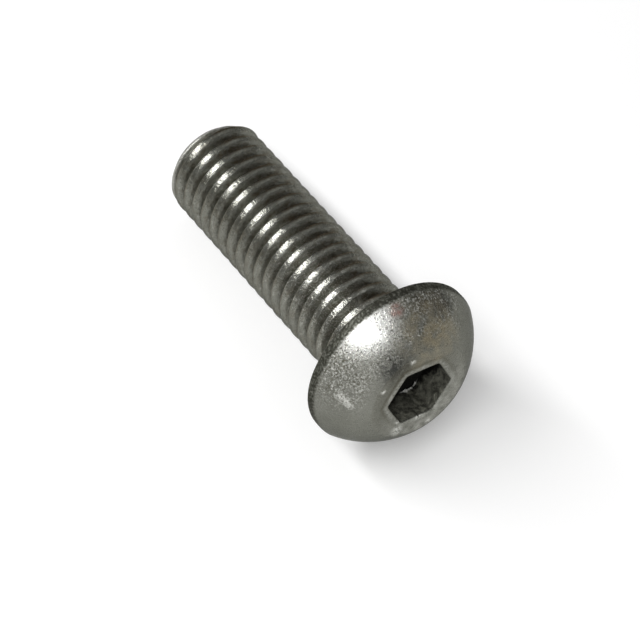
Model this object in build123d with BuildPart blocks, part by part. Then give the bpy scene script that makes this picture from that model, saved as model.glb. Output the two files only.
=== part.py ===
from build123d import *
import os
from math import asin, atan2, ceil, cos, hypot, radians, sin, tan

# A button head socket screw, M10 x 30, in stainless steel. The real one is a single piece: a wire
# blank with its head and hexagon socket cold-formed, and its thread rolled on afterwards.
# It lies as it comes to rest, on the rim of its head and on the thread near its tip.
# Millimetres. +X runs from the tip to the head, +Z is up, and the origin is on the surface that the
# screw lies on, under the middle of its bounding box.

# ---- driving sizes -------------------------------------------------------------------------------
# Along the screw, sizes are taken from the bearing face, the underside of the head.
thread_diameter = 10.0      # over the crests
thread_pitch = 1.5
thread_angle = 60.0         # between the two flanks, in degrees
shank_length = 30.0         # from the bearing face to the tip
neck_length = 1.95          # plain neck, from the bearing face to the run-out
runout_length = 1.0         # where the thread fades into the neck
thread_end = 2.1            # where the groove stops, on top of the screw, from the bearing face
tip_diameter = 7.9          # of the flat end
tip_angle = 45.0            # of the chamfer at the tip, from the axis, in degrees
underhead_radius = 0.4      # of the fillet between neck and bearing face

head_diameter = 17.5
head_height = 5.2
rim_height = 1.0            # from the bearing face to the start of the dome
rim_rounding = 0.3          # between the bearing face and the rim
crown_diameter = 10.0       # of the flat ring round the socket

socket_width = 6.0          # across the flats, which is the size of the key
socket_depth = 3.12         # of the full hexagon
socket_floor_angle = 120.0  # of the cone at the bottom, like a drill's, in degrees
socket_turn = 19.5          # of a corner from the top of the screw, about its axis, in degrees
mouth_chamfer = 0.12        # round the mouth of the socket

# ---- thread form ---------------------------------------------------------------------------------
# The basic triangle is cut off by an eighth of its height at the crest and a sixth at the root.
crest_cut = 1 / 8
root_cut = 1 / 6
pitch_line = 3 / 8          # depth of the pitch line, as a share of the triangle's height
triangle_height = thread_pitch / 2 / tan(radians(thread_angle / 2))
thread_depth = triangle_height * (1 - crest_cut - root_cut)
root_flat = thread_pitch * root_cut
crest_radius = thread_diameter / 2
root_radius = crest_radius - thread_depth
neck_radius = crest_radius - triangle_height * pitch_line  # a rolled blank has the pitch diameter

# ---- the dome ------------------------------------------------------------------------------------
# It is part of a ball whose middle lies on the axis, and it meets the rim and the crown.
head_radius = head_diameter / 2
crown_radius = crown_diameter / 2
dome_height = head_height - rim_height
ball_offset = (head_radius**2 - crown_radius**2) / (2 * dome_height)
ball_middle = (head_height + rim_height) / 2 - ball_offset
dome_radius = hypot(rim_height - ball_middle, head_radius)

# ---- how it lies ---------------------------------------------------------------------------------
# The screw rests on the rounding of its rim, at rim_radius, and on the crests at the tip.
rim_radius = head_radius - rim_rounding
tip_radius = tip_diameter / 2
tip_chamfer = (crest_radius - tip_radius) / tan(radians(tip_angle))
contact_span = shank_length - tip_chamfer + rim_rounding
contact_drop = rim_radius - crest_radius
lie_angle = atan2(contact_drop, contact_span) + asin(rim_rounding / hypot(contact_drop, contact_span))

bearing_height = rim_radius * cos(lie_angle) - rim_rounding * sin(lie_angle) + rim_rounding
reach_to_head = head_height * cos(lie_angle) + crown_radius * sin(lie_angle)
reach_to_tip = shank_length * cos(lie_angle) + tip_radius * sin(lie_angle)
bearing_centre = Vector((reach_to_tip - reach_to_head) / 2, 0, bearing_height)
toward_head = Vector(cos(lie_angle), 0, sin(lie_angle))
screw_axis = Axis(bearing_centre, toward_head)

# Half sections are drawn on a plane through the axis: x is the distance from the bearing face,
# positive in the head and negative in the shank, and y is the radius.
upper_half = Plane(origin=bearing_centre, x_dir=toward_head, z_dir=(0, -1, 0))
lower_half = Plane(origin=bearing_centre, x_dir=toward_head, z_dir=(0, 1, 0))

# ---- room left round the cutters, so that no two faces coincide ----------------------------------
cut_margin = 0.3            # the groove's cutter stands this far out of the crests
trim_margin = 1.0           # the cutters for tip and run-out stand this far out
rod_allowance = 2 * thread_pitch  # the rod is cut from a longer one
bury_depth = 0.15           # how far the threaded rod lies under the neck's surface
rod_end = 1.0               # the rod ends inside the head


# ---- the groove of the thread --------------------------------------------------------------------
# One turn after another, right-handed, from beyond the tip to the neck. The groove is symmetrical
# about its middle, and its flanks open outwards.
turns = ceil((shank_length - thread_end) / thread_pitch) + 1
groove_start = -thread_end - turns * thread_pitch
flank_slope = tan(radians(thread_angle / 2))
groove_top = crest_radius + cut_margin
groove_half_width = root_flat / 2 + flank_slope * (groove_top - root_radius)

with BuildPart() as thread_groove:
    with BuildLine() as groove_path:
        for turn in range(turns):
            turn_start = bearing_centre + toward_head * (groove_start + turn * thread_pitch)
            Helix(thread_pitch, thread_pitch, crest_radius, center=turn_start, direction=toward_head)
    with BuildSketch(upper_half):
        with BuildLine():
            Polyline(
                (groove_start - root_flat / 2, root_radius),
                (groove_start - groove_half_width, groove_top),
                (groove_start + groove_half_width, groove_top),
                (groove_start + root_flat / 2, root_radius),
                close=True,
            )
        make_face()
    sweep(path=groove_path.wire(), is_frenet=True)


# ---- the screw -----------------------------------------------------------------------------------
rod_start = groove_start - rod_allowance
outside = crest_radius + trim_margin
tip_outside = -shank_length + (outside - tip_radius) / tan(radians(tip_angle))

# The crests fall to the neck along a cone, and the bottom of the groove rises along another one.
# Both cones go on a little below the surface that they meet.
runout_start = -neck_length - runout_length
crest_fall = (crest_radius - neck_radius) / runout_length
root_rise = (neck_radius - root_radius) / runout_length
buried_radius = neck_radius - bury_depth
crest_cone_end = -neck_length + bury_depth / crest_fall
crest_cone_outside = runout_start - trim_margin / crest_fall
root_cone_start = runout_start - bury_depth / root_rise

socket_radius = socket_width / 2
socket_floor = head_height - socket_depth
cone_depth = socket_radius / tan(radians(socket_floor_angle / 2))
top_side = Vector(-sin(lie_angle), 0, cos(lie_angle))
crown_plane = Plane(origin=bearing_centre + toward_head * head_height, x_dir=top_side, z_dir=toward_head)

with BuildPart() as screw:
    # the threaded rod
    with BuildSketch(lower_half):
        with BuildLine():
            Polyline(
                (rod_start, 0),
                (rod_start, crest_radius),
                (rod_end, crest_radius),
                (rod_end, 0),
                close=True,
            )
        make_face()
    revolve(axis=screw_axis)
    add(thread_groove.part, mode=Mode.SUBTRACT)

    # the flat end and its chamfer, which cuts into the first turn
    with BuildSketch(lower_half):
        with BuildLine():
            Polyline(
                (rod_start - trim_margin, 0),
                (-shank_length, 0),
                (-shank_length, tip_radius),
                (tip_outside, outside),
                (rod_start - trim_margin, outside),
                close=True,
            )
        make_face()
    revolve(axis=screw_axis, mode=Mode.SUBTRACT)

    # the run-out of the crests
    with BuildSketch(lower_half):
        with BuildLine():
            Polyline(
                (crest_cone_outside, outside),
                (crest_cone_end, buried_radius),
                (rod_end + trim_margin, buried_radius),
                (rod_end + trim_margin, outside),
                close=True,
            )
        make_face()
    revolve(axis=screw_axis, mode=Mode.SUBTRACT)

    # the head and the neck, with the cone that fills the end of the groove
    with BuildSketch(lower_half):
        with BuildLine():
            Line((0, 0), (head_height, 0))
            Line((head_height, 0), (head_height, crown_radius))
            RadiusArc((head_height, crown_radius), (rim_height, head_radius), -dome_radius)
            Line((rim_height, head_radius), (rim_rounding, head_radius))
            RadiusArc((rim_rounding, head_radius), (0, rim_radius), -rim_rounding)
            Line((0, rim_radius), (0, neck_radius + underhead_radius))
            RadiusArc((0, neck_radius + underhead_radius), (-underhead_radius, neck_radius), underhead_radius)
            Line((-underhead_radius, neck_radius), (-neck_length, neck_radius))
            Line((-neck_length, neck_radius), (root_cone_start, root_radius - bury_depth))
            Line((root_cone_start, root_radius - bury_depth), (root_cone_start, 0))
            Line((root_cone_start, 0), (0, 0))
        make_face()
    revolve(axis=screw_axis)

    # the hexagon socket, its conical floor and the chamfer round its mouth
    with BuildSketch(crown_plane):
        RegularPolygon(socket_radius, side_count=6, major_radius=False, rotation=socket_turn)
    extrude(amount=-socket_depth, mode=Mode.SUBTRACT)
    mouth_edges = screw.edges(Select.LAST).group_by(screw_axis)[-1]
    chamfer(mouth_edges, length=mouth_chamfer)
    with BuildSketch(lower_half):
        with BuildLine():
            Polyline(
                (socket_floor, 0),
                (socket_floor, socket_radius),
                (socket_floor - cone_depth, 0),
                close=True,
            )
        make_face()
    revolve(axis=screw_axis, mode=Mode.SUBTRACT)

screw.part.label = "button_head_screw"
os.makedirs("parts", exist_ok=True)
export_step(screw.part, "parts/button_head_screw.step")
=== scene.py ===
import math

import bpy
import numpy as np
from mathutils import Matrix, Vector


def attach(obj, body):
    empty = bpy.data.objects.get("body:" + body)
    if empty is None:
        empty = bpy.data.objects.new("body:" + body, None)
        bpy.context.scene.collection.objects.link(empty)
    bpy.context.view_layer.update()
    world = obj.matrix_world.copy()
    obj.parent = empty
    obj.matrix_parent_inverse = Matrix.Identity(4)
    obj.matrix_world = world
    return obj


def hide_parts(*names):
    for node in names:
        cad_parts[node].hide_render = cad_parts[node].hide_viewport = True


# The looks of a stainless button head socket screw, M10 x 30. It is one piece of metal, so it is one
# closed surface here: the flat tip, the rolled thread, the neck, the domed head and the hexagon socket.
# Sizes are in millimetres and angles in degrees until a mesh is made. Stations run along the screw's
# axis from the underside of the head: positive in the head, negative in the shank. Angles run round the
# axis from the top of the screw, towards -Y first.

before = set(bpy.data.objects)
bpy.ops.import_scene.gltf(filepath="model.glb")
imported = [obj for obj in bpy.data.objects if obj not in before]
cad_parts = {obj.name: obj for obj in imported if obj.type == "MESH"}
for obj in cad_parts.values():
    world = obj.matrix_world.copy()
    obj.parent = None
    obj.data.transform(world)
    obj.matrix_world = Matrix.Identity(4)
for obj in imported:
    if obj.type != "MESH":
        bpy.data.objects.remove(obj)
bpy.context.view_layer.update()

MM = 0.001

# ---- sizes, the same as the solid's --------------------------------------------------------------
CREST_RADIUS = 5.0
PITCH = 1.5
FLANK_ANGLE = 30.0          # of each flank, from square to the axis
THREAD_DEPTH = 0.9202
ROOT_RADIUS = CREST_RADIUS - THREAD_DEPTH
CREST_ON_TOP = -2.846       # station of the last crest on top of the screw
NECK_RADIUS = 4.5129
NECK_LENGTH = 1.95
RUNOUT_LENGTH = 1.0
SHANK_LENGTH = 30.0
TIP_RADIUS = 3.95
FILLET_RADIUS = 0.4

HEAD_RADIUS = 8.75
HEAD_HEIGHT = 5.2
RIM_HEIGHT = 1.0
RIM_ROUNDING = 0.3
DOME_RADIUS = 9.6371
DOME_CENTRE = np.array([-3.0384, 0.0])  # its station and its distance from the axis
CROWN_RADIUS = 5.0

SOCKET_APOTHEM = 3.0
SOCKET_FLOOR = 2.08         # station of the bottom of the walls
SOCKET_CONE = 1.732         # depth of the cone below them
SOCKET_CORNER = 19.46       # angle of the corner on top
MOUTH_EDGE = 0.12

# ---- where the screw lies ------------------------------------------------------------------------
LIE_ANGLE = math.radians(7.3105)
BEARING_CENTRE = np.array([12.2324, 0.0, 8.6431])
TOWARD_HEAD = np.array([math.cos(LIE_ANGLE), 0.0, math.sin(LIE_ANGLE)])
UP = np.array([-math.sin(LIE_ANGLE), 0.0, math.cos(LIE_ANGLE)])
SIDE = np.cross(TOWARD_HEAD, UP)

# ---- the shape of the wear, which the solid leaves out -------------------------------------------
CREST_HALF_WIDTH = 0.26     # from a crest's middle to its flanks
CREST_CURVE = 0.75          # radius of a crest's worn top
CREST_LEAN = 0.14           # how far that top lies towards the tip
CREST_SOFTNESS = 0.14       # of the corner between crest and flank
ROOT_SOFTNESS = 0.30        # of the corner between flank and root
RUNOUT_SOFTNESS = 0.06      # where the cones of the run-out cut the thread
CHAMFER_SOFTNESS = 0.10     # where the tip's chamfer cuts it
WAVE_ROOM = 0.012           # the thread lies this much lower, so that its waves keep inside its size
WAVES = ((0.006, 1.6, 3), (0.003, 0.7, 4))  # height, length and seed
LENGTH_SPREAD = (0.7, 1.5)  # shortest and longest part of a wave, as shares of its length

# Dents on the crests: station, angle, width and depth.
DENTS = (
    (-17.07, 31.1, 0.35, 0.12),
    (-12.37, 29.6, 0.30, 0.12),
    (-7.24, 46.8, 0.25, 0.08),
)

CROWN_EDGE = 0.35           # width of the rounded edge between dome and crown
CORNER_SOFTNESS = 2.2       # of the socket's corners, in degrees
LIP_HEIGHT = 0.05           # of the metal pushed up round the mouth
LIP_WIDTH = 0.28
LIP_MIDDLE = 0.1            # from the mouth to its highest part
LIP_START = 0.03            # from the mouth to the last row of the crown
WALL_END = SOCKET_FLOOR + 0.06  # where the torn edge starts
BURR_HEIGHT = 0.25          # of the torn edge at the bottom of the wall
BURR_WIDTH = 0.3
BURR_WAVES = ((37, 0.2, 0), (71, 0.2, 1), (17, 0.1, 2))  # number in a turn, height and phase
CURL_SHARE = 0.5            # size of its curl, as a share of the largest
CONE_RADIUS = SOCKET_APOTHEM * 0.97
CONE_INSET = 0.11           # from the wall to the edge of the cone
CONE_ROUND_FROM = 0.2       # share of the cone's depth at which it is round

# Windows of angles for marks on one side: painted sheen, painted glints, grain, darker grooves,
# painted shade and the torn edge: the middle, the half width, and how steep the ends are.
PAINTED_SHEEN_SIDE = (25.0, 30.0, 2)
PAINTED_GLINT_SIDE = (25.0, 35.0, 2)
GRAIN_AND_GLINT_SIDE = (12.0, 62.0, 6)
DARKER_ON_TOP_SIDE = (-12.0, 44.0, 4)
TIPWARD_SHADE_SIDE = (-18.0, 21.0, 4)
WEAK_TIPWARD_SHADE_SIDE = (66.0, 18.0, 4)
SHADE_STRIPE_SIDE = (48.0, 14.0, 2)
BURR_SIDE = (195.0, 14.0, 4)
CURL_SIDE = (186.0, 3.0, 2)

# ---- the grid ------------------------------------------------------------------------------------
COLUMNS = 144
COLUMN_CROWDING = 0.7
ROWS_PER_PITCH = 24
ROW_CROWDING = 0.5
THREAD_END = -NECK_LENGTH + 0.12  # the helical rows stop here, inside the plain neck
SNAP = 0.01                 # a helical row this close to an end joins the round row there
TIP_ROWS = 6
NECK_ROWS = 6
CROWN_ROWS = 12
CROWN_CROWDING = 1.6        # towards the mouth
MOUTH_ROWS = 5
WALL_ROWS = 13
FLOOR_ROWS = 7


def column_angles():
    """Angles round the axis. They start at a corner of the socket and crowd at its six corners: the
    angle lags behind even steps by a sine of six waves a turn."""
    even = np.arange(COLUMNS) * 360.0 / COLUMNS
    return SOCKET_CORNER + even - COLUMN_CROWDING * 60 / (2 * math.pi) * np.sin(np.radians(6 * even))


ANGLES = column_angles()


def level(value):
    """One number for every column."""
    return np.full(COLUMNS, value)


def steps(count):
    """Even steps up to 1, without 0."""
    return np.linspace(0, 1, count + 1)[1:]


# ---- curves that the shapes and the wear share ---------------------------------------------------
def smooth_min(a, b, k):
    """The smaller of two, with the corner between them rounded over a difference of k."""
    h = np.maximum(k - np.abs(a - b), 0) / k
    return np.minimum(a, b) - h * h * k / 4


def smooth_max(a, b, k):
    """The larger of two, rounded in the same way."""
    return -smooth_min(-a, -b, k)


def rise(value, start, end):
    """0 up to the start and 1 from the end on, straight between them. The end may be the lower one."""
    return np.clip((value - start) / (end - start), 0, 1)


def bell(value, middle, width, steepness=2):
    """1 in the middle, falling to both sides: e to the minus the distance from the middle, over the
    width, to the power of the steepness."""
    return np.exp(-((value - middle) / width) ** steepness)


def window(angle, middle, half_width, steepness):
    """A bell over the angle round the screw."""
    return bell((angle - middle + 180) % 360 - 180, 0, half_width, steepness)


def ripple(points, wavelength, seed, waves=16):
    """A smooth random field with an rms of about one: the sum of plane waves whose directions are
    random and whose lengths lie near the given one."""
    rng = np.random.default_rng(seed)
    direction = rng.normal(size=(waves, 3))
    direction /= np.linalg.norm(direction, axis=1)[:, None]
    length = wavelength * rng.uniform(*LENGTH_SPREAD, waves)
    phase = rng.uniform(0, 2 * math.pi, waves)
    total = np.zeros(points.shape[:-1])
    for k in range(waves):
        total += np.sin(points @ direction[k] * (2 * math.pi / length[k]) + phase[k])
    return total * math.sqrt(2 / waves)


def place(station, radius, angle):
    """The point at a station, a radius and an angle, in the row's frame: from the bearing centre along
    the axis, then outwards."""
    turn = np.radians(angle)
    outward = np.cos(turn)[..., None] * UP + np.sin(turn)[..., None] * SIDE
    return BEARING_CENTRE + station[..., None] * TOWARD_HEAD + radius[..., None] * outward


def measure(points):
    """The station, the radius and the angle of points in the row's frame: the reverse of place."""
    offset = points - BEARING_CENTRE
    station = offset @ TOWARD_HEAD
    radius = np.linalg.norm(offset - station[:, None] * TOWARD_HEAD, axis=1)
    angle = np.degrees(np.arctan2(offset @ SIDE, offset @ UP)) % 360
    return station, radius, angle


# ---- the thread ----------------------------------------------------------------------------------
def from_crest(station, angle):
    """The distance along the axis from the middle of the nearest crest, towards the head. The crest
    moves one pitch towards the head in each turn."""
    crest = CREST_ON_TOP + PITCH * angle / 360
    return (station - crest + PITCH / 2) % PITCH - PITCH / 2


def thread_radius(station, angle):
    """The radius of the threaded shank. Within a pitch it is a crest worn round, which leans a little
    towards the tip, two straight flanks and a flat root, with rounded corners. The tip's chamfer, the
    cone of the run-out and the cone that fills the groove there cut it off smoothly. Two shallow waves
    run over it all, and small dents lie on some crests."""
    distance = from_crest(station, angle)
    top = CREST_RADIUS - (distance + CREST_LEAN) ** 2 / (2 * CREST_CURVE)
    flank = CREST_RADIUS - (np.abs(distance) - CREST_HALF_WIDTH) / math.tan(math.radians(FLANK_ANGLE))
    radius = smooth_min(top, flank, CREST_SOFTNESS)
    radius = smooth_max(radius, ROOT_RADIUS, ROOT_SOFTNESS)

    into_runout = (station + NECK_LENGTH + RUNOUT_LENGTH) / RUNOUT_LENGTH
    crest_cone = CREST_RADIUS + (NECK_RADIUS - CREST_RADIUS) * into_runout
    root_cone = ROOT_RADIUS + (NECK_RADIUS - ROOT_RADIUS) * into_runout
    radius = smooth_min(radius, np.maximum(crest_cone, NECK_RADIUS), RUNOUT_SOFTNESS)
    radius = smooth_max(radius, np.minimum(root_cone, NECK_RADIUS), RUNOUT_SOFTNESS)

    chamfer = TIP_RADIUS + station + SHANK_LENGTH
    radius = smooth_min(radius, chamfer, CHAMFER_SOFTNESS)
    surface = place(station, radius, angle)
    radius = radius - WAVE_ROOM
    for height, length, seed in WAVES:
        radius = radius + height * ripple(surface, length, seed)
    for dent_station, dent_angle, width, depth in DENTS:
        middle = place(np.array(dent_station), np.array(CREST_RADIUS), np.array(dent_angle))
        radius = radius - depth * bell(np.linalg.norm(surface - middle, axis=-1), 0, width)
    return radius


def thread_rows():
    """Stations of the helical rows in the first column. They crowd at the crests and the roots: the
    station runs ahead of even steps by a sine of two waves a pitch."""
    turns = math.ceil((SHANK_LENGTH - NECK_LENGTH + 2 * PITCH) / PITCH) + 1
    even = np.arange(turns * ROWS_PER_PITCH + 1) / ROWS_PER_PITCH
    crowded = even - ROW_CROWDING / (4 * math.pi) * np.sin(4 * math.pi * even)
    first_crest = CREST_ON_TOP + PITCH * SOCKET_CORNER / 360
    pitches_to_start = math.ceil((first_crest + SHANK_LENGTH + PITCH) / PITCH)
    return first_crest - pitches_to_start * PITCH + PITCH * crowded


# ---- the head's outline --------------------------------------------------------------------------
BEARING_GAP = 0.02          # from the ends of the bearing face to the arcs beside it
RIM_GAPS = (0.05, 0.08)     # from the ends of the rim to its rounding and to the dome
DOME_GAP = 0.3              # from the dome's corner at the rim to its first point, in degrees


def arc(centre, radius, start, end, count):
    """Points on an arc, from one angle to another."""
    turn = np.radians(np.linspace(start, end, count))
    return np.stack([centre[0] + radius * np.cos(turn), centre[1] + radius * np.sin(turn)], axis=1)


def straight(start, end, count, bunch=0.0):
    """Points on a straight line. They bunch at both ends by a sine of one wave."""
    even = np.linspace(0, 1, count)
    t = even - bunch * np.sin(2 * math.pi * even) / (2 * math.pi)
    return np.asarray(start) + t[:, None] * (np.asarray(end) - np.asarray(start))


def head_outline():
    """Stations and radii from the neck over the bearing face, the rim and the dome to the crown: arcs
    and straight lines in turn. The lines stop short of the arcs, so that no point is there twice."""
    rim_turn = math.degrees(math.atan2(HEAD_RADIUS, RIM_HEIGHT - DOME_CENTRE[0]))
    crown_turn = math.degrees(math.atan2(CROWN_RADIUS, HEAD_HEIGHT - DOME_CENTRE[0]))
    soften = math.degrees(CROWN_EDGE / DOME_RADIUS)
    bearing_start = (0, NECK_RADIUS + FILLET_RADIUS + BEARING_GAP)
    bearing_end = (0, HEAD_RADIUS - RIM_ROUNDING - BEARING_GAP)
    rim_start = (RIM_ROUNDING + RIM_GAPS[0], HEAD_RADIUS)
    rim_end = (RIM_HEIGHT - RIM_GAPS[1], HEAD_RADIUS)
    return np.concatenate([
        arc((-FILLET_RADIUS, NECK_RADIUS + FILLET_RADIUS), FILLET_RADIUS, 270, 360, count=7),
        straight(bearing_start, bearing_end, count=6, bunch=0.6),
        arc((RIM_ROUNDING, HEAD_RADIUS - RIM_ROUNDING), RIM_ROUNDING, 180, 90, count=7),
        straight(rim_start, rim_end, count=4),
        arc(DOME_CENTRE, DOME_RADIUS, rim_turn - DOME_GAP, crown_turn + soften, count=30),
    ])


def crown_edge_rows(count=5):
    """The rounded edge between dome and crown: a curve with three control points, the middle one at
    the corner."""
    crown_turn = math.atan2(CROWN_RADIUS, HEAD_HEIGHT - DOME_CENTRE[0])
    start_turn = crown_turn + CROWN_EDGE / DOME_RADIUS
    start = DOME_CENTRE + DOME_RADIUS * np.array([math.cos(start_turn), math.sin(start_turn)])
    corner = np.array([HEAD_HEIGHT, CROWN_RADIUS])
    end = np.array([HEAD_HEIGHT, CROWN_RADIUS - CROWN_EDGE])
    t = np.linspace(0, 1, count + 2)[1:, None]
    return (1 - t) ** 2 * start + 2 * t * (1 - t) * corner + t ** 2 * end


# ---- the socket ----------------------------------------------------------------------------------
def hexagon_radius(angle):
    """The distance from the axis to the hexagon's wall. Towards a side it is the apothem over the
    cosine of the angle from the side's middle, and near a corner that angle is rounded off."""
    from_corner = np.abs((angle - SOCKET_CORNER + 30) % 60 - 30)
    softened = np.sqrt(from_corner ** 2 + CORNER_SOFTNESS ** 2)
    return SOCKET_APOTHEM / np.cos(np.radians(30 - softened))


def lip_height(distance, angle):
    """The height of the metal that the punch pushed up round the mouth: a bell over the distance from
    the mouth, highest at the corner on top and lowest opposite."""
    amount = 0.6 + 0.4 * np.cos(np.radians(angle - SOCKET_CORNER))
    return LIP_HEIGHT * amount * bell(distance, LIP_MIDDLE, LIP_WIDTH)


def burr_share(angle):
    """How far the torn edge at the bottom of the wall stands out, as a share of its largest size: a
    window over the angles beside the lowest corner, times three sines that make it ragged, and a
    thick curl at its end."""
    turn = np.radians(angle)
    ragged = 0.5 + sum(height * np.sin(number * turn + phase) for number, height, phase in BURR_WAVES)
    return window(angle, *BURR_SIDE) * ragged + CURL_SHARE * window(angle, *CURL_SIDE)


def burr_rows(wall):
    """The rows of the torn edge: up to its top, out over its edge, back in under it, and down to the
    edge of the cone. Where it has no size they run straight on from the wall to the cone."""
    share = burr_share(ANGLES)
    top = SOCKET_FLOOR + BURR_HEIGHT * share
    reach = BURR_WIDTH * share
    return [
        (top + 0.012, wall - 0.02),
        (top - 0.3 * reach, wall - 0.05 - 0.7 * reach),
        (top - 0.6 * reach, wall - 0.06 - reach),
        (level(SOCKET_FLOOR - 0.02), wall - CONE_INSET - 0.1 * reach),
    ]


def socket_rows():
    """Stations and radii of the rows from the crown's edge to the middle of the socket's floor, one
    row for each pair. The crown's rows turn from a circle into the hexagon and rise to its lip, a
    quarter circle leads over the mouth's edge, the walls go straight down to the torn edge, and the
    floor's rows turn back into a circle and fall along a cone."""
    wall = hexagon_radius(ANGLES)
    mouth = wall + MOUTH_EDGE
    rows = []
    for t in 1 - (1 - steps(CROWN_ROWS)) ** CROWN_CROWDING:
        radius = (1 - t) * (CROWN_RADIUS - CROWN_EDGE) + t * (mouth + LIP_START)
        rows.append((HEAD_HEIGHT + t * lip_height(radius - mouth, ANGLES), radius))
    lip = lip_height(0, ANGLES)
    for turn in np.radians(np.linspace(0, 90, MOUTH_ROWS)):
        rows.append((
            HEAD_HEIGHT + lip - (MOUTH_EDGE + lip) * (1 - math.cos(turn)),
            mouth - MOUTH_EDGE * math.sin(turn),
        ))
    for t in steps(WALL_ROWS):
        rows.append((level((1 - t) * (HEAD_HEIGHT - MOUTH_EDGE) + t * WALL_END), wall))
    rows += burr_rows(wall)
    for t in steps(FLOOR_ROWS + 1)[:-1]:
        hexagonal = (wall - CONE_INSET - CONE_RADIUS) * max(0.0, 1 - t / CONE_ROUND_FROM)
        rows.append((level(SOCKET_FLOOR - SOCKET_CONE * t), CONE_RADIUS * (1 - t) + hexagonal))
    return rows


# ---- one closed surface --------------------------------------------------------------------------
def quads_between(rows, next_column):
    """The quads between each row of point numbers and the row after it. The second array holds, for
    each point, its neighbour in the next column."""
    return np.stack([rows[:-1], next_column[:-1], next_column[1:], rows[1:]], axis=-1)


def screw_surface():
    """Points, quads and triangles of the whole screw. Round rows share their columns. The thread's
    rows follow the helix, so that at the end of a turn a row goes on as the row one pitch further on.
    Where they run past the flat tip or into the plain neck, they end on the round row there, and the
    quads that this folds up become triangles or vanish."""
    round_rows = [(level(-SHANK_LENGTH), level(TIP_RADIUS * t)) for t in steps(TIP_ROWS)]
    tip_row = len(round_rows) - 1
    neck_row = tip_row + 1
    for station in np.linspace(THREAD_END, -FILLET_RADIUS, NECK_ROWS + 1)[:-1]:
        round_rows.append((level(station), level(NECK_RADIUS)))
    for station, radius in np.concatenate([head_outline(), crown_edge_rows()]):
        round_rows.append((level(station), level(radius)))
    round_rows += socket_rows()

    station, radius = np.array(round_rows).transpose(1, 0, 2)
    ring_points = place(station, radius, np.broadcast_to(ANGLES, station.shape)).reshape(-1, 3)
    ring = np.arange(station.size).reshape(station.shape)

    helix_station = thread_rows()[:, None] + PITCH * (ANGLES - SOCKET_CORNER) / 360
    helix_angle = np.broadcast_to(ANGLES, helix_station.shape)
    before = helix_station <= -SHANK_LENGTH + SNAP
    after = helix_station >= THREAD_END - SNAP
    kept = ~(before | after)
    helix_radius = thread_radius(helix_station, helix_angle)
    helix_points = place(helix_station[kept], helix_radius[kept], helix_angle[kept])
    helix = np.empty(helix_station.shape, int)
    helix[kept] = len(ring_points) + np.arange(kept.sum())
    helix[before] = np.broadcast_to(ring[tip_row], helix.shape)[before]
    helix[after] = np.broadcast_to(ring[neck_row], helix.shape)[after]
    onward = np.full(len(helix), ring[neck_row][0])
    onward[:-ROWS_PER_PITCH] = helix[ROWS_PER_PITCH:, 0]

    middles = place(np.array([-SHANK_LENGTH, SOCKET_FLOOR - SOCKET_CONE]), np.zeros(2), np.zeros(2))
    points = np.concatenate([ring_points, helix_points, middles])
    tip_middle, floor_middle = len(points) - 2, len(points) - 1

    next_ring = np.roll(ring, -1, axis=1)
    next_helix = np.column_stack([helix[:, 1:], onward])
    quads = np.concatenate([
        np.delete(quads_between(ring, next_ring), tip_row, axis=0).reshape(-1, 4),
        quads_between(helix, next_helix).reshape(-1, 4),
    ])
    triangles = [
        np.column_stack([level(tip_middle), next_ring[0], ring[0]]),
        np.column_stack([ring[-1], next_ring[-1], level(floor_middle)]),
    ]
    same = quads == np.roll(quads, -1, axis=1)
    folded_once = same.sum(axis=1) == 1
    corners = (np.argmax(same[folded_once], axis=1)[:, None] + np.arange(1, 4)) % 4
    triangles.append(np.take_along_axis(quads[folded_once], corners, axis=1))
    return points, quads[~same.any(axis=1)], np.concatenate(triangles)


def mesh_object(name, points, quads, triangles):
    """A smooth-shaded mesh object with its place in its mesh."""
    mesh = bpy.data.meshes.new(name)
    mesh.from_pydata((points * MM).tolist(), [], quads.tolist() + triangles.tolist())
    mesh.polygons.foreach_set("use_smooth", np.ones(len(mesh.polygons), bool))
    mesh.update()
    obj = bpy.data.objects.new(name, mesh)
    bpy.context.scene.collection.objects.link(obj)
    return obj


# ---- node trees ----------------------------------------------------------------------------------
class Wiring:
    """A tree of shader nodes. What goes into a node is a plain value or another node's output."""

    def __init__(self, tree):
        self.tree = tree

    def node(self, kind):
        return self.tree.nodes.new("ShaderNode" + kind)

    def feed(self, value, socket):
        if isinstance(value, bpy.types.NodeSocket):
            self.tree.links.new(value, socket)
        else:
            socket.default_value = value

    def math(self, operation, first, second, clamp=False):
        node = self.node("Math")
        node.operation = operation
        node.use_clamp = clamp
        self.feed(first, node.inputs[0])
        self.feed(second, node.inputs[1])
        return node.outputs["Value"]

    def times(self, first, second, clamp=False):
        """The product of two numbers, kept between 0 and 1 where it is clamped."""
        return self.math("MULTIPLY", first, second, clamp)

    def vector_math(self, operation, first, second=(0, 0, 0)):
        node = self.node("VectorMath")
        node.operation = operation
        self.feed(first, node.inputs[0])
        self.feed(second, node.inputs[1])
        return node

    def ramp(self, value, low, high, start=0.0, end=1.0, kind="SMOOTHSTEP"):
        """The start where the value is at low, the end where it is at high, and smooth between."""
        node = self.node("MapRange")
        node.interpolation_type = kind
        self.feed(value, node.inputs["Value"])
        self.feed(low, node.inputs["From Min"])
        self.feed(high, node.inputs["From Max"])
        self.feed(start, node.inputs["To Min"])
        self.feed(end, node.inputs["To Max"])
        return node.outputs["Result"]

    def between(self, value, start, end):
        """A number that goes straight from the start to the end as the value goes from 0 to 1."""
        return self.ramp(value, 0.0, 1.0, start, end, "LINEAR")


# The colour sockets of the Mix node come after those for numbers and for vectors.
COLOUR_INPUTS = slice(6, 8)
COLOUR_OUTPUT = 2


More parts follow.
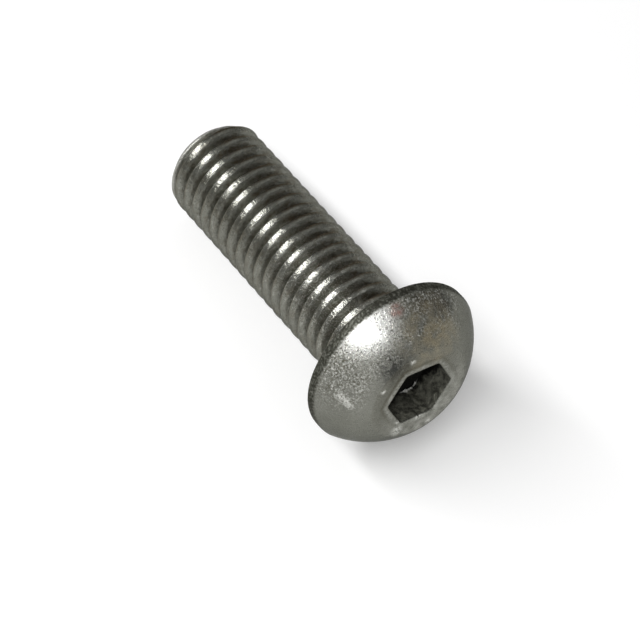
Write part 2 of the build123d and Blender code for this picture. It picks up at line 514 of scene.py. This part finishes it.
class Finish(Wiring):
    """A metal finish. Its patterns lie on Object coordinates, turned so that their X runs along the
    screw, and are counted in millimetres."""

    def __init__(self, name, metallic=1.0):
        self.material = bpy.data.materials.new(name)
        self.material.use_nodes = True
        super().__init__(self.material.node_tree)
        self.shader = self.tree.nodes["Principled BSDF"]
        self.shader.inputs["Metallic"].default_value = metallic
        self.shader.inputs["Specular Tint"].default_value = GLANCING_TINT
        turn = self.node("Mapping")
        turn.inputs["Rotation"].default_value = (0, LIE_ANGLE, 0)
        turn.inputs["Scale"].default_value = (1 / MM, 1 / MM, 1 / MM)
        self.feed(self.node("TexCoord").outputs["Object"], turn.inputs["Vector"])
        self.place = turn.outputs["Vector"]

    def noise(self, size, detail=2.0, contrast=1.0, rough=0.5, stretch=None):
        """Noise from 0 to 1 about one half, with features of a size. A stretch is the rate at which it
        changes along each axis, so the features are long where that rate is low."""
        place = self.place
        if stretch:
            place = self.vector_math("MULTIPLY", self.place, stretch).outputs["Vector"]
        node = self.node("TexNoise")
        self.feed(place, node.inputs["Vector"])
        node.inputs["Scale"].default_value = 1 / size
        node.inputs["Detail"].default_value = detail
        node.inputs["Roughness"].default_value = rough
        if contrast == 1.0:
            return node.outputs["Fac"]
        centred = self.math("SUBTRACT", node.outputs["Fac"], 0.5)
        return self.math("ADD", self.times(centred, contrast), 0.5, clamp=True)

    def spot(self, point, radius):
        """1 at a point in the row's frame, falling to 0 at a radius."""
        turned = Matrix.Rotation(LIE_ANGLE, 3, "Y") @ Vector(point)
        distance = self.vector_math("DISTANCE", self.place, turned).outputs["Value"]
        return self.math("SUBTRACT", 1.0, self.ramp(distance, 0.0, radius))

    def attribute(self, name):
        node = self.node("Attribute")
        node.attribute_name = name
        return node.outputs["Fac"]

    def blend(self, factor, first, second):
        """A colour that goes from the first to the second as the factor goes from 0 to 1."""
        node = self.node("Mix")
        node.data_type = "RGBA"
        self.feed(factor, node.inputs["Factor"])
        for value, socket in zip((first, second), node.inputs[COLOUR_INPUTS]):
            self.feed((*value, 1) if isinstance(value, tuple) else value, socket)
        return node.outputs[COLOUR_OUTPUT]

    def colour(self, value):
        self.feed(value, self.shader.inputs["Base Color"])

    def roughness(self, value):
        self.feed(value, self.shader.inputs["Roughness"])

    def bump(self, heights):
        """Bumps in a row, each a height from 0 to 1 and its depth in millimetres."""
        normal = None
        for height, depth in heights:
            node = self.node("Bump")
            node.inputs["Distance"].default_value = depth * MM
            self.feed(height, node.inputs["Height"])
            if normal:
                self.feed(normal, node.inputs["Normal"])
            normal = node.outputs["Normal"]
        self.feed(normal, self.shader.inputs["Normal"])


# ---- finishes ------------------------------------------------------------------------------------
STEEL = (0.228, 0.230, 0.202)
STEEL_ROLLED = (0.205, 0.207, 0.180)
STEEL_DULL = (0.185, 0.187, 0.161)
# A lighter steel for a painted sheen on the side where the lamp's highlight falls.
STEEL_PAINTED_SHEEN = (0.35, 0.35, 0.313)
STEEL_PRESSED = (0.42, 0.42, 0.38)
STEEL_SPECK = (0.62, 0.62, 0.58)
# Near white, for a painted highlight.
STEEL_PAINTED_HIGHLIGHT = (0.92, 0.92, 0.89)
# Fresh torn metal, painted brighter than steel as a glint.
STEEL_FRESH_AND_GLINT = (0.95, 0.95, 0.90)
STEEL_WARM = (0.33, 0.288, 0.198)
STEEL_RED = (0.340, 0.190, 0.160)
# Dark dirt, also used for painted shade.
STEEL_DIRT_AND_SHADE = (0.085, 0.078, 0.055)
STEEL_BROWN = (0.105, 0.078, 0.045)
# For spots of painted shade.
STEEL_SHADE_SPOT = (0.07, 0.071, 0.064)
STEEL_BLACKENED = (0.05, 0.05, 0.04)
SOCKET_STEEL = (0.25, 0.25, 0.205)
SOCKET_DULL = (0.06, 0.06, 0.048)
# Near black, for painted shadow in the socket.
SOCKET_SHADOW_BLACK = (0.012, 0.012, 0.010)
GLANCING_TINT = (0.4, 0.4, 0.4, 1)
FLOOR_WHITE = (0.82, 0.82, 0.82, 1)
WHITE = (1, 1, 1, 1)

# How fast a pattern changes along the screw and along the two axes across it. Marks of rolling run
# round the screw and scrapes of the punch along it. Specks and flecks are a hair off even, so that
# they don't line up with the other patterns.
SPECK_STRETCH = (1.0, 1.01, 1.0)
FLECK_STRETCH = (1.0, 0.4, 0.41)
MOTTLE_STRETCH = (1.0, 0.35, 0.35)
ROLLED_STRETCH = (1.0, 0.12, 0.12)
SCRAPED_STRETCH = (0.15, 1.0, 1.0)

# Patches on the head, each a point in the row's frame and a radius: a painted highlight and its plain core,
# and a warm and a red patch.
PAINTED_HIGHLIGHT_PATCH = ((12.4, -2.75, 17.0), 4.0)
PAINTED_HIGHLIGHT_CORE = ((12.4, -2.75, 17.0), 3.2)
WARM_PATCH = ((15.4, 2.4, 15.2), 4.8)
RED_PATCH = ((13.06, 0.3, 17.13), 1.0)

# Small bright scratches on the head: the point and the radius.
SCRATCHES = (
    ((14.94, -6.93, 11.73), 0.75),
    ((15.37, -6.73, 11.37), 0.75),
    ((15.79, -6.53, 10.90), 0.6),
    ((17.82, -2.74, 5.98), 0.9),
    ((17.78, -0.36, 6.26), 0.7),
    ((17.98, 0.66, 4.74), 0.55),
    ((17.67, -2.61, 7.13), 0.4),
    ((16.79, -0.38, 14.01), 0.45),
    ((17.01, -3.72, 12.28), 0.4),
)

# Spots of painted shade on the head: the point, the radius, and how dark the middle is.
PAINTED_SHADE_SPOTS = (
    ((16.76, -2.10, 14.25), 2.6, 1.9),
    ((13.10, 3.10, 16.45), 2.0, 1.7),
    ((13.60, 4.60, 15.35), 2.3, 2.4),
    ((14.40, -7.20, 11.90), 4.2, 0.42),
)


def satin_head():
    """The head was tumbled after it was formed. Its satin has a sharp fine grain, with painted glints on
    the lit side; a painted highlight with a plain core, a painted sheen, a warm and a red patch, spots of
    painted shade and bright scratches. The metal round the socket is pressed, with painted shade towards
    the top and a painted shadow inside the mouth's edge, and the rim is rougher and darker."""
    finish = Finish("satin_head")
    colour = finish.blend(finish.noise(2.6, detail=3.0, contrast=1.8), STEEL_DULL, STEEL)
    # Painted sheen: the head is lighter on the side where the lamp's highlight falls.
    colour = finish.blend(finish.attribute("painted_sheen"), colour, STEEL_PAINTED_SHEEN)
    # Painted highlight: a near-white patch where the lamp's highlight lies on the dome.
    bright = finish.times(finish.spot(*PAINTED_HIGHLIGHT_PATCH), 2.0, clamp=True)
    colour = finish.blend(bright, colour, STEEL_PAINTED_HIGHLIGHT)

    pressed = finish.times(finish.attribute("crown"), finish.noise(0.7, detail=3.0, contrast=3.0))
    colour = finish.blend(pressed, colour, STEEL_PRESSED)
    # Spots of painted shade.
    for point, radius, darkness in PAINTED_SHADE_SPOTS:
        ragged = finish.noise(0.5, detail=3.0, contrast=3.0, rough=0.8)
        shade_spot = finish.times(finish.times(finish.spot(point, radius), ragged), darkness, clamp=True)
        colour = finish.blend(shade_spot, colour, STEEL_SHADE_SPOT)
    # Painted shade on the crown, towards the corner on top.
    colour = finish.blend(finish.attribute("shade"), colour, STEEL_DIRT_AND_SHADE)
    lip = finish.times(finish.attribute("lip"), finish.noise(0.3, contrast=3.0))
    colour = finish.blend(lip, colour, STEEL_SPECK)
    # Painted shadow just inside the mouth's edge, strongest towards the top.
    colour = finish.blend(finish.attribute("edge"), colour, STEEL_BLACKENED)
    for point, radius in SCRATCHES:
        broken = finish.ramp(finish.noise(0.25), 0.38, 0.52)
        colour = finish.blend(finish.times(finish.spot(point, radius), broken), colour, STEEL_SPECK)

    # The painted highlight's core is kept plain: dark specks and grain fade there.
    plain = finish.times(finish.spot(*PAINTED_HIGHLIGHT_CORE), 2.0, clamp=True)
    left = finish.between(plain, 1.0, 0.15)
    speck = finish.noise(0.2, detail=3.0, contrast=4.5, rough=0.8, stretch=SPECK_STRETCH)
    # Grain with painted glints, on the lit side of the dome.
    grain_and_glints = finish.times(finish.attribute("grain_and_glints"), finish.noise(1.6, contrast=1.6))
    grain_and_glints = finish.times(grain_and_glints, 1.8, clamp=True)
    dark_speck = finish.times(finish.times(grain_and_glints, finish.ramp(speck, 0.4, 0.0)), left)
    painted_glint_speck = finish.times(grain_and_glints, finish.ramp(speck, 0.6, 1.0))
    colour = finish.blend(dark_speck, colour, STEEL_DIRT_AND_SHADE)
    colour = finish.blend(painted_glint_speck, colour, STEEL_SPECK)

    warm = finish.times(finish.spot(*WARM_PATCH), finish.noise(1.3, contrast=3.0))
    colour = finish.blend(warm, colour, STEEL_WARM)
    red = finish.times(finish.spot(*RED_PATCH), finish.noise(0.4, contrast=2.0))
    colour = finish.blend(finish.times(red, 1.6, clamp=True), colour, STEEL_RED)

    rim = finish.attribute("rim")
    colour = finish.blend(rim, colour, STEEL_DULL)
    scuffs = finish.times(finish.times(rim, finish.noise(0.22, contrast=2.4)), 1.6, clamp=True)
    finish.colour(finish.blend(scuffs, colour, STEEL_BLACKENED))
    satin = finish.between(finish.noise(0.15, detail=1.0, contrast=3.0), 0.2, 0.48)
    finish.roughness(finish.math("ADD", satin, finish.times(rim, 0.2)))
    grain = finish.times(finish.noise(0.18, rough=0.7), finish.between(left, 0.3, 1.0))
    finish.bump([(finish.noise(1.1), 0.015), (finish.noise(0.4), 0.02), (grain, 0.08)])
    return finish.material


def rolled_thread():
    """Rolling burnishes the crests, and a painted sheen, narrowed to a painted highlight, lightens them on
    the lit side. Pale flecks lie all over, with more of them and painted glints near the head on the lit
    side. Dirt lies in the grooves, which are darker over the top; painted shade lies on the tip's side of
    the crests and in one dark stripe; and the edge of the tip is worn bright. Fine marks follow the helix,
    and the flanks and roots are pitted."""
    finish = Finish("rolled_thread")
    groove = finish.attribute("groove")
    flank = finish.ramp(groove, 0.05, 0.45)
    mottle = finish.noise(0.3, detail=3.0, contrast=3.0, rough=0.65, stretch=MOTTLE_STRETCH)
    colour = finish.blend(finish.noise(1.4, detail=3.0, contrast=2.0), STEEL_DULL, STEEL_ROLLED)

    crest = finish.math("SUBTRACT", 1.0, flank)
    # Painted highlight: the crests are lighter on the lit side.
    painted_crest_highlight = finish.times(finish.math("POWER", finish.attribute("painted_sheen"), 6.0), crest)
    colour = finish.blend(finish.times(painted_crest_highlight, 0.45), colour, STEEL_SPECK)
    fleck = finish.noise(0.28, detail=3.0, contrast=3.0, rough=0.7, stretch=FLECK_STRETCH)
    # Pale flecks all over, with more near the head on the lit side as painted glints.
    glint_weight = finish.attribute("flecks_and_glints")
    colour = finish.blend(finish.times(finish.ramp(fleck, 0.6, 1.0), glint_weight), colour, STEEL_PRESSED)

    # The grooves are darker, more so over the top.
    darker_on_top = finish.between(finish.attribute("darker_on_top"), 0.1, 0.6)
    deep = finish.math("ADD", finish.times(finish.ramp(groove, 0.05, 0.8), darker_on_top), 0.25)
    dirt = finish.blend(finish.noise(1.1, contrast=3.0), STEEL_DIRT_AND_SHADE, STEEL_BROWN)
    colour = finish.blend(finish.times(deep, finish.ramp(mottle, 0.7, 0.1)), colour, dirt)
    # Painted shade on the tip's side of the crests, brown tinted.
    painted_tipward_shade = finish.times(finish.attribute("painted_tipward_shade"), finish.between(finish.noise(0.6), 0.6, 1.0))
    colour = finish.blend(painted_tipward_shade, colour, STEEL_BROWN)
    # Painted shade: a dark patchy stripe along the screw.
    patchy = finish.noise(0.7, detail=3.0, contrast=4.0, rough=0.7)
    colour = finish.blend(finish.times(finish.attribute("painted_shade_stripe"), patchy), colour, STEEL_DIRT_AND_SHADE)

    # Painted glints: bright specks near the head on the lit side.
    painted_glint = finish.ramp(finish.noise(0.11, detail=1.0, contrast=3.0), 0.72, 0.95)
    painted_glint = finish.times(painted_glint, finish.math("SUBTRACT", glint_weight, FLECKED_LEAST))
    colour = finish.blend(finish.times(painted_glint, 1.5, clamp=True), colour, STEEL_SPECK)
    grit = finish.ramp(finish.noise(0.13, contrast=3.0, rough=0.7), 0.45, 0.0)
    colour = finish.blend(finish.times(grit, 0.5), colour, STEEL_BLACKENED)
    worn = finish.between(finish.noise(0.3, detail=3.0, contrast=2.5), 0.3, 0.9)
    finish.colour(finish.blend(finish.times(finish.attribute("tip"), worn), colour, STEEL_SPECK))

    finish.roughness(finish.math("ADD", finish.between(flank, 0.2, 0.36), finish.between(mottle, 0.08, 0.0)))
    marks = finish.noise(0.12, detail=3.0, stretch=ROLLED_STRETCH)
    pits = finish.times(finish.noise(0.3, detail=3.0, rough=0.6), finish.between(groove, 0.5, 1.2))
    finish.bump([(marks, 0.01), (pits, 0.1), (finish.noise(0.14), 0.02)])
    return finish.material


def dark_socket():
    """The socket's walls are scraped by the punch and dull and greasy, so they are only half as metallic as
    the rest. Painted shadow makes the bottom black and reaches up the walls on one side, and the torn edge
    over it is fresh metal, painted brighter as a glint."""
    finish = Finish("dark_socket", metallic=0.5)
    patches = finish.noise(0.6, detail=4.0, contrast=3.2, rough=0.6)
    walls = finish.blend(patches, SOCKET_DULL, SOCKET_STEEL)
    # Painted shadow: black at the bottom of the socket, reaching higher up the walls on one side.
    depth = finish.math("ADD", finish.attribute("depth"), finish.attribute("painted_shadow_depth"))
    black = finish.ramp(finish.math("SUBTRACT", depth, finish.times(patches, 0.4)), 2.4, 3.0)
    colour = finish.blend(black, walls, SOCKET_SHADOW_BLACK)
    burr = finish.attribute("burr")
    # The torn edge: fresh metal, painted brighter as a glint.
    finish.colour(finish.blend(burr, colour, STEEL_FRESH_AND_GLINT))
    finish.roughness(finish.between(burr, 0.6, 0.25))
    scrapes = finish.noise(0.2, detail=3.0, stretch=SCRAPED_STRETCH)
    finish.bump([(scrapes, 0.05), (patches, 0.12)])
    return finish.material


# ---- wear, dirt, and painted light and shade -----------------------------------------------------
HEAD_SLOT, THREAD_SLOT, SOCKET_SLOT = range(3)
IN_SOCKET = SOCKET_APOTHEM * 1.2    # what lies nearer to the axis, behind the mouth, is the socket
PAINTED_SHEEN_AT_TIP = 0.62                # width of the painted sheen's side there, as a share of the full width
PAINTED_SHEEN_FADE = 1.5                   # distance from the crown over which the painted sheen comes in on the dome
PAINTED_SHEEN_ON_RIM = 0.2
GRAIN_FADE = (0.5, 1.7)             # distances from the crown between which the grain comes in
BRIGHT_LIP = (0.22, 0.2)            # middle and width, over the distance from the mouth
SHADED_RING = (0.65, 0.15)          # the same
PAINTED_SHADOW_MOST = 1.3 * 2 ** 1.5       # what the painted shadow on one side adds at most to the depth in the socket
PAINTED_SHADOW_SPAN = (205.0, 315.0)        # angles between which the painted shadow grows
BURR_SPAN = (-0.01, 0.41)           # heights over the floor between which the torn edge lies
FLECKED_LEAST = 0.35                # of the flecks, away from the painted glints
PAINTED_GLINT_SPAN = (-16.0, -8.0)        # stations between which more flecks and the painted glints come in
TIPWARD_SHADE_REACH = 0.10                # half the width of the ramp across a crest's middle
TIPWARD_SHADE_WEAK = 0.3                  # of the weak window
SHADE_STRIPE_MOST = 0.65
TIP_SPAN = (1.1, 0.8)               # distances from the end between which the tip gets worn bright
TIP_DEPTH = 0.2                     # depth under the crests at which it is fully bright


def painted_sheen_amount(station, radius, angle):
    """How strong the painted sheen is on the side where the light falls: a window of angles, which narrows
    along the tip's half of the shank and stops at the crown, and which is weak on the rim."""
    middle, half_width, steepness = PAINTED_SHEEN_SIDE
    narrowing = PAINTED_SHEEN_AT_TIP + (1 - PAINTED_SHEEN_AT_TIP) * rise(station, -SHANK_LENGTH, -SHANK_LENGTH / 2)
    amount = window(angle, middle, half_width * narrowing, steepness)
    amount *= np.where(station > 0, rise(radius, CROWN_RADIUS, CROWN_RADIUS + PAINTED_SHEEN_FADE), 1)
    return amount * np.where((station > -0.5) & (station < RIM_HEIGHT), PAINTED_SHEEN_ON_RIM, 1)


def rim_amount(station, radius, angle):
    """1 on the outer part of the bearing face and on the rim, falling to 0 where the dome starts."""
    outside = radius > HEAD_RADIUS - 2 * RIM_ROUNDING
    return rise(station, RIM_HEIGHT + 0.25, RIM_HEIGHT - 0.05) * outside


def grain_and_glint_amount(station, radius, angle):
    """How far the tumbling left the dome speckled, with painted glints among the grain: full over a broad
    window of angles about the top, where the light falls, and nothing near the crown."""
    from_crown = rise(radius - CROWN_RADIUS, *GRAIN_FADE)
    return window(angle, *GRAIN_AND_GLINT_SIDE) * from_crown * (station > RIM_HEIGHT - 0.1)


def painted_tipward_shade_amount(station, angle):
    """How much painted shade lies on the tip's side of the crests, beside the painted sheen: a ramp across
    the crest's middle, times a full and a weak window of angles."""
    side = window(angle, *TIPWARD_SHADE_SIDE) + TIPWARD_SHADE_WEAK * window(angle, *WEAK_TIPWARD_SHADE_SIDE)
    return rise(from_crest(station, angle), TIPWARD_SHADE_REACH, -TIPWARD_SHADE_REACH) * side


def crown_amounts(station, radius, angle):
    """How far the flat crown is pressed and carries painted shade, its lip is bright and the mouth's edge
    carries a painted shadow: bells over the distance from the mouth, stronger or weaker towards the
    corner on top."""
    mouth = hexagon_radius(angle) + MOUTH_EDGE
    from_mouth = radius - mouth
    near_top = 0.5 + 0.5 * np.cos(np.radians(angle - SOCKET_CORNER))
    on_crown = (station > HEAD_HEIGHT - 0.1) & (from_mouth > -0.1)
    in_mouth = (station > HEAD_HEIGHT - 0.3) & (from_mouth < -0.01)
    return {
        "crown": on_crown * 0.85 * (1 - near_top) ** 2,
        "lip": on_crown * bell(from_mouth, *BRIGHT_LIP) * (0.15 + 0.25 * near_top),
        "shade": on_crown * (0.3 + 0.5 * bell(from_mouth, *SHADED_RING)) * near_top ** 1.2,
        "edge": in_mouth * (0.2 + 0.7 * near_top),
    }


def socket_amounts(station, radius, angle):
    """The depth in the socket and what the painted shadow on one side adds to it, both in millimetres, and
    how far a point belongs to the torn edge: near the floor, just off the wall, where the edge stands out."""
    share = burr_share(angle)
    height = station - SOCKET_FLOOR
    from_wall = hexagon_radius(angle) - radius
    near_floor = (height > BURR_SPAN[0]) & (height < BURR_SPAN[1])
    on_edge = (from_wall > 0.01) & (from_wall < 0.06 + BURR_WIDTH * share)
    return {
        "depth": np.clip(HEAD_HEIGHT - station, 0, None) * (radius < IN_SOCKET),
        "painted_shadow_depth": PAINTED_SHADOW_MOST * rise(angle, *PAINTED_SHADOW_SPAN) ** 1.5,
        "burr": np.clip(4 * share, 0, 1) * near_floor * on_edge,
    }


def thread_amounts(station, radius, angle):
    """The depth in the groove, as a share of the whole, how much darker the grooves are on top, how many
    flecks and painted glints lie on the thread, where painted shade lies beside the crests and in a
    stripe, and how worn the tip is: windows of angles, and rises along the screw and towards the edge of
    the tip."""
    on_thread = station < -NECK_LENGTH
    tip_edge = rise(station + SHANK_LENGTH, *TIP_SPAN) * rise(CREST_RADIUS - radius, 0, TIP_DEPTH)
    glint_weight = rise(station, *PAINTED_GLINT_SPAN) * window(angle, *PAINTED_GLINT_SIDE)
    return {
        "groove": rise(radius, CREST_RADIUS, ROOT_RADIUS) * on_thread,
        "darker_on_top": window(angle, *DARKER_ON_TOP_SIDE),
        "painted_tipward_shade": painted_tipward_shade_amount(station, angle),
        "flecks_and_glints": FLECKED_LEAST + (1 - FLECKED_LEAST) * glint_weight,
        "painted_shade_stripe": SHADE_STRIPE_MOST * window(angle, *SHADE_STRIPE_SIDE) * on_thread,
        "tip": tip_edge,
    }


def dress_screw(screw, points):
    """Gives each face the finish of its place, from its middle, and each point its wear and dirt and its
    painted light and shade.
    """
    mesh = screw.data
    where = measure(points)
    amounts = {
        "painted_sheen": painted_sheen_amount(*where),
        "grain_and_glints": grain_and_glint_amount(*where),
        "rim": rim_amount(*where),
        **crown_amounts(*where),
        **socket_amounts(*where),
        **thread_amounts(*where),
    }
    for name, values in amounts.items():
        mesh.attributes.new(name, "FLOAT", "POINT").data.foreach_set("value", values.astype(np.float32))

    for material in (satin_head(), rolled_thread(), dark_socket()):
        mesh.materials.append(material)
    middles = np.zeros(len(mesh.polygons) * 3)
    mesh.polygons.foreach_get("center", middles)
    station, radius, _ = measure(middles.reshape(-1, 3) / MM)
    in_socket = (station > 0.2) & (station < HEAD_HEIGHT - MOUTH_EDGE * 0.8) & (radius < IN_SOCKET)
    slot = np.where(in_socket, SOCKET_SLOT, np.where(station < 0.01, THREAD_SLOT, HEAD_SLOT))
    mesh.polygons.foreach_set("material_index", slot)


# ---- floor, light and camera ---------------------------------------------------------------------
def pale_floor():
    """A matt white board. What the camera and the metal see of it is lifted to white, more so far out
    where the lamp hardly reaches, while the light that it gives stays that of its own colour."""
    material = bpy.data.materials.new("pale_floor")
    material.use_nodes = True
    wiring = Wiring(material.node_tree)
    shader = wiring.tree.nodes["Principled BSDF"]
    shader.inputs["Base Color"].default_value = FLOOR_WHITE
    shader.inputs["Roughness"].default_value = 1.0
    shader.inputs["Specular IOR Level"].default_value = 0.0
    shader.inputs["Emission Color"].default_value = WHITE
    rays = wiring.node("LightPath").outputs
    seen = wiring.math("MAXIMUM", rays["Is Camera Ray"], rays["Is Glossy Ray"])
    seen = wiring.math("MAXIMUM", seen, rays["Is Transmission Ray"])
    from_middle = wiring.vector_math("LENGTH", wiring.node("TexCoord").outputs["Object"]).outputs["Value"]
    lift = wiring.ramp(from_middle, 0.08, 0.6, start=0.2, end=0.8)
    wiring.feed(wiring.between(seen, 0.1, lift), shader.inputs["Emission Strength"])
    return material


def flat_floor(half_side):
    """A square on the ground, with a half side in metres."""
    corners = np.array([[-1, -1, 0], [1, -1, 0], [1, 1, 0], [-1, 1, 0]]) * half_side / MM
    floor = mesh_object("floor", corners, np.array([[0, 1, 2, 3]]), np.empty((0, 3), int))
    floor.data.materials.append(pale_floor())


def studio_world():
    """Light from all round: bright at the horizon, dimmer towards the ceiling, towards +Y and behind
    the tip, with a soft window high up on the side of +Y."""
    world = bpy.data.worlds.new("studio")
    bpy.context.scene.world = world
    world.use_nodes = True
    wiring = Wiring(world.node_tree)
    direction = wiring.node("TexCoord").outputs["Generated"]
    parts = wiring.node("SeparateXYZ")
    wiring.feed(direction, parts.inputs["Vector"])
    x, y, z = parts.outputs
    horizon = wiring.ramp(y, -0.2, 0.8, start=0.88, end=0.3)
    sky = wiring.ramp(z, 0.05, 0.5, start=horizon, end=0.29)
    sky = wiring.times(sky, wiring.ramp(x, -0.95, -0.35, start=0.45, end=1.0))
    toward_window = Vector((-0.05, 0.6, 0.8)).normalized()
    facing = wiring.vector_math("DOT_PRODUCT", direction, toward_window).outputs["Value"]
    strength = wiring.math("ADD", sky, wiring.ramp(facing, 0.86, 0.99, end=0.35))
    background = wiring.tree.nodes["Background"]
    background.inputs["Color"].default_value = WHITE
    wiring.feed(strength, background.inputs["Strength"])


SCREW_MIDDLE = 0.008        # height over the floor that the lamp looks at, in metres


def softbox(name, direction, distance, sides, strength):
    """A lamp that looks at the screw from a direction. A strength of one shows a colour as it is
    written: the lamp's power is that strength times the square of its distance and of pi."""
    lamp = bpy.data.lights.new(name, "AREA")
    lamp.shape = "RECTANGLE"
    lamp.size, lamp.size_y = sides
    lamp.energy = strength * math.pi ** 2 * distance ** 2
    obj = bpy.data.objects.new(name, lamp)
    bpy.context.scene.collection.objects.link(obj)
    toward = Vector(direction).normalized()
    across = Vector((0, 1, 0)).cross(toward).normalized()
    axes = Matrix((across, toward.cross(across), toward)).transposed()
    aim = Vector((0, 0, SCREW_MIDDLE))
    obj.matrix_world = Matrix.Translation(aim + toward * distance) @ axes.to_4x4()


def look_camera(azimuth, elevation, distance, right_by, down_by, lens):
    """A camera at an azimuth and an elevation, in degrees, and at a distance from the bearing centre,
    which it sees to the right of the middle of the picture and below it."""
    azimuth, elevation = math.radians(azimuth), math.radians(elevation)
    right = Vector((math.cos(azimuth), math.sin(azimuth), 0))
    forward = Vector((
        -math.sin(azimuth) * math.cos(elevation),
        math.cos(azimuth) * math.cos(elevation),
        -math.sin(elevation),
    ))
    down = forward.cross(right)
    offset = right * right_by + down * down_by + forward * distance
    data = bpy.data.cameras.new("camera")
    data.lens = lens
    data.sensor_width = 36
    camera = bpy.data.objects.new("camera", data)
    bpy.context.scene.collection.objects.link(camera)
    axes = Matrix((right, -down, -forward)).transposed()
    camera.matrix_world = Matrix.Translation((Vector(BEARING_CENTRE) - offset) * MM) @ axes.to_4x4()
    bpy.context.scene.camera = camera


# ---- the scene -----------------------------------------------------------------------------------
points, quads, triangles = screw_surface()
screw = mesh_object("screw", points, quads, triangles)
dress_screw(screw, points)
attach(screw, "root")
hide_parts("button_head_screw")

flat_floor(half_side=5.0)
studio_world()
softbox("key", direction=(-0.165, -0.42, 0.89), distance=0.4, sides=(0.70, 0.07), strength=1.2)
look_camera(azimuth=56.043, elevation=56.887, distance=310.23, right_by=6.055, down_by=3.356, lens=192.68)
bpy.context.scene.view_settings.view_transform = "Standard"
